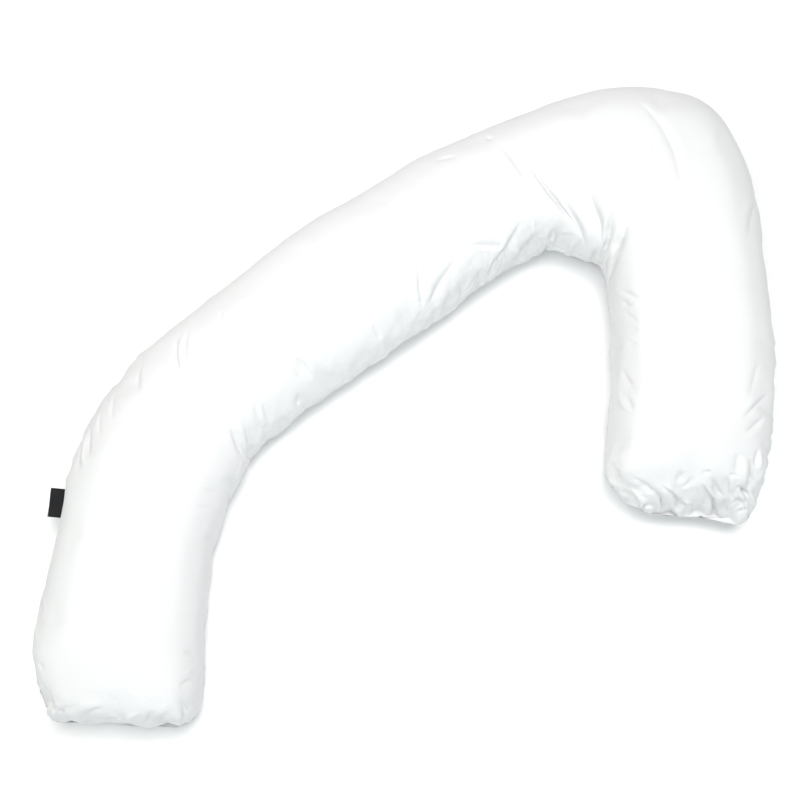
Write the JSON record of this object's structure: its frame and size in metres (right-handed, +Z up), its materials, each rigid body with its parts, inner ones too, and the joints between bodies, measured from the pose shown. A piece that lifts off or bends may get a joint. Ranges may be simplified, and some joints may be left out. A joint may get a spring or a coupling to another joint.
{
  "type": "body pillow",
  "caption": "Full-length side-sleeper body pillow shaped like a seven: a curved leg, a sharp bend and a short hook, filled and sewn all round, with a plain woven side label.",
  "frame": {"origin": "on the surface it lies on, under the middle of its bounding box", "axes": "+Z up out of the upper face, +X across from the long leg's foot towards the hook, +Y towards the bend"},
  "size_m": [1.2052, 1.0792, 0.2],
  "materials": {
    "cover": "white, tightly woven cotton or microfibre with a faint sheen",
    "label": "black woven ribbon, matt"
  },
  "bodies": {
    "root": {"pillow": "cover", "side_label": "label"}
  },
  "joints": []
}
